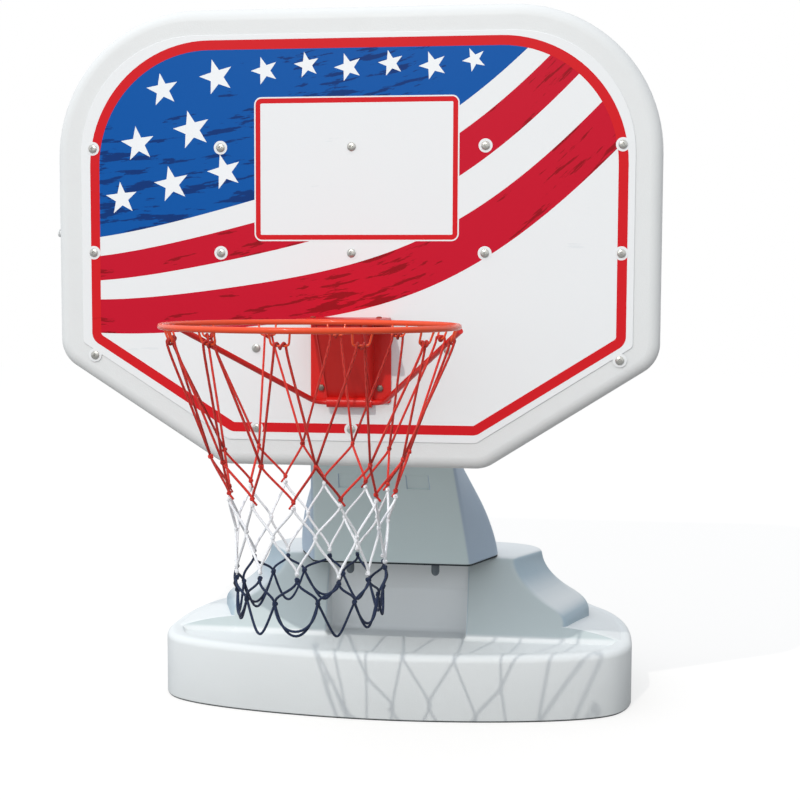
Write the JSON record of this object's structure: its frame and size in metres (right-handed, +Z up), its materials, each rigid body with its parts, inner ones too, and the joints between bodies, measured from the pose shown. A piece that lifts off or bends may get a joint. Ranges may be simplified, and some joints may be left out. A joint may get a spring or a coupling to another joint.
{
  "type": "poolside basketball hoop",
  "caption": "Free-standing poolside basketball hoop: ballast tank, leaning tower, octagonal printed backboard, braced steel rim and a tricolour cord net.",
  "frame": {"origin": "on the floor, under the middle of the tank's flat underside", "axes": "+Z up; -Y toward the player, the way the backboard and rim face; +X to the viewer's right when facing the backboard"},
  "size_m": [1.1236, 1.7705, 1.4362],
  "materials": {
    "tank_plastic": "white-grey blow-moulded polyethylene, satin",
    "tower_plastic": "light grey blow-moulded polyethylene, satin",
    "shell_plastic": "white blow-moulded polyethylene, satin",
    "printed_sheet": "thin white sheet printed with stars and sweeping stripes inside a red border",
    "dark_plastic": "dark grey moulded plastic",
    "rim_paint": "orange-red powder coat over steel rod, glossy",
    "bracket_paint": "red powder coat over steel, glossy",
    "cord_red": "braided red net cord",
    "cord_white": "braided white net cord",
    "cord_navy": "braided navy net cord",
    "gasket_rubber": "black sealing rubber",
    "fastener_steel": "zinc-plated steel",
    "sand": "loose dry sand ballast"
  },
  "bodies": {
    "stand": {"base_tank": "tank_plastic", "ballast_sand": "sand", "tower": "tower_plastic", "board_shell": "shell_plastic", "face_panel": "printed_sheet", "vent_plug": "dark_plastic", "face_screw_01": "fastener_steel", "face_screw_02": "fastener_steel", "face_screw_03": "fastener_steel", "face_screw_04": "fastener_steel", "face_screw_05": "fastener_steel", "face_screw_06": "fastener_steel", "face_screw_07": "fastener_steel", "face_screw_08": "fastener_steel", "face_screw_09": "fastener_steel", "face_screw_10": "fastener_steel", "face_screw_11": "fastener_steel", "face_screw_12": "fastener_steel", "face_screw_13": "fastener_steel", "face_screw_14": "fastener_steel", "face_screw_15": "fastener_steel", "face_screw_16": "fastener_steel", "rim_ring": "rim_paint", "rim_bracket": "bracket_paint", "rim_brace": "bracket_paint", "top_bolt_left": "fastener_steel", "top_bolt_right": "fastener_steel", "bracket_bolt_1": "fastener_steel", "bracket_bolt_2": "fastener_steel", "bracket_bolt_3": "fastener_steel", "bracket_bolt_4": "fastener_steel", "bracket_nut_1": "fastener_steel", "bracket_nut_2": "fastener_steel", "bracket_nut_3": "fastener_steel", "bracket_nut_4": "fastener_steel", "back_plate": "fastener_steel", "tower_bolt_1": "fastener_steel", "tower_bolt_2": "fastener_steel", "tower_bolt_3": "fastener_steel", "tower_bolt_4": "fastener_steel", "tower_peg_left": "dark_plastic", "tower_peg_right": "dark_plastic", "net_red": "cord_red", "net_white": "cord_white", "net_navy": "cord_navy"},
    "fill_seal": {"fill_gasket": "gasket_rubber"},
    "fill_cap": {"fill_cap": "dark_plastic"},
    "drain_seal": {"drain_gasket": "gasket_rubber"},
    "drain_plug": {"drain_plug": "dark_plastic"}
  },
  "joints": [
    {"name": "fill_lift", "type": "slide", "parent": "stand", "child": "fill_seal", "axis": [0, 0, 1], "range_m": [0, 0.05]},
    {"name": "fill_turn", "type": "hinge", "parent": "fill_seal", "child": "fill_cap", "pos_m": [0.2, 0.254, 0.134], "axis": [0, 0, 1], "continuous": true},
    {"name": "drain_pull", "type": "slide", "parent": "stand", "child": "drain_seal", "axis": [0, 1, 0], "range_m": [0, 0.04]},
    {"name": "drain_turn", "type": "hinge", "parent": "drain_seal", "child": "drain_plug", "pos_m": [-0.15, 0.35, 0.046], "axis": [0, 1, 0], "continuous": true}
  ]
}
